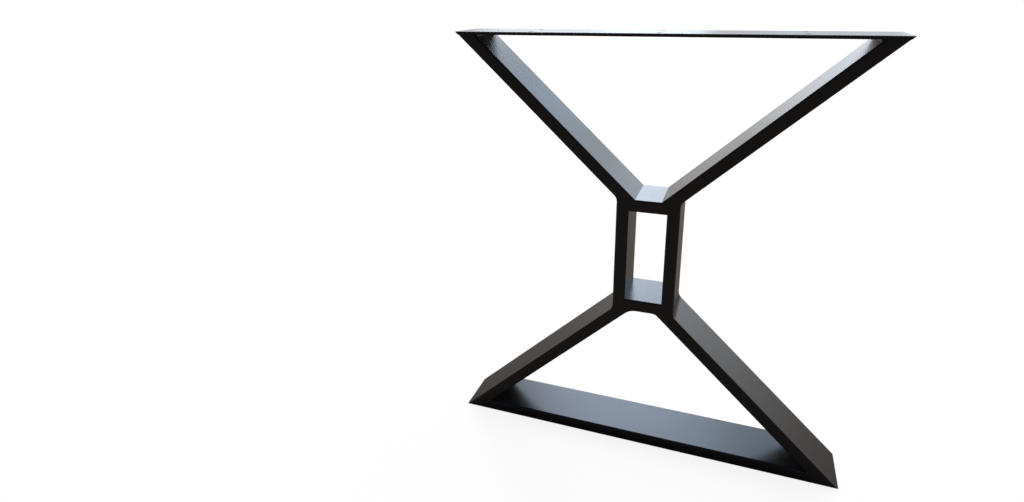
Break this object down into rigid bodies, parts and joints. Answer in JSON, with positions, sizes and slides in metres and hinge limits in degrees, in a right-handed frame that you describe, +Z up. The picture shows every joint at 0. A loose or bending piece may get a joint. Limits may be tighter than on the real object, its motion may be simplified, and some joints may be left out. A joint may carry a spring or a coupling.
{
  "type": "table leg",
  "caption": "X shaped table leg of welded rectangular steel tube, with an open triangle above and below a narrow upright neck and a flat mounting bar on top.",
  "frame": {"origin": "on the floor under the middle of the leg, halfway through the tube's depth", "axes": "+Z up, X along the top bar and the foot tube, Y through the tube's depth"},
  "size_m": [0.65, 0.09, 0.71],
  "materials": {
    "powder_coat": "black powder coat, satin"
  },
  "bodies": {
    "root": {"foot_tube": "powder_coat", "lower_left_diagonal": "powder_coat", "lower_right_diagonal": "powder_coat", "neck_bottom_crosspiece": "powder_coat", "neck_left_post": "powder_coat", "neck_right_post": "powder_coat", "neck_top_crosspiece": "powder_coat", "top_bar": "powder_coat", "upper_left_diagonal": "powder_coat", "upper_right_diagonal": "powder_coat", "weld_hip_left": "powder_coat", "weld_hip_right": "powder_coat", "weld_lower_left_front": "powder_coat", "weld_lower_left_rear": "powder_coat", "weld_lower_right_front": "powder_coat", "weld_lower_right_rear": "powder_coat", "weld_neck_left": "powder_coat", "weld_neck_right": "powder_coat", "weld_shoulder_left": "powder_coat", "weld_shoulder_right": "powder_coat", "weld_top_left": "powder_coat", "weld_top_right": "powder_coat", "weld_upper_left_front": "powder_coat", "weld_upper_left_rear": "powder_coat", "weld_upper_right_front": "powder_coat", "weld_upper_right_rear": "powder_coat"}
  },
  "joints": []
}
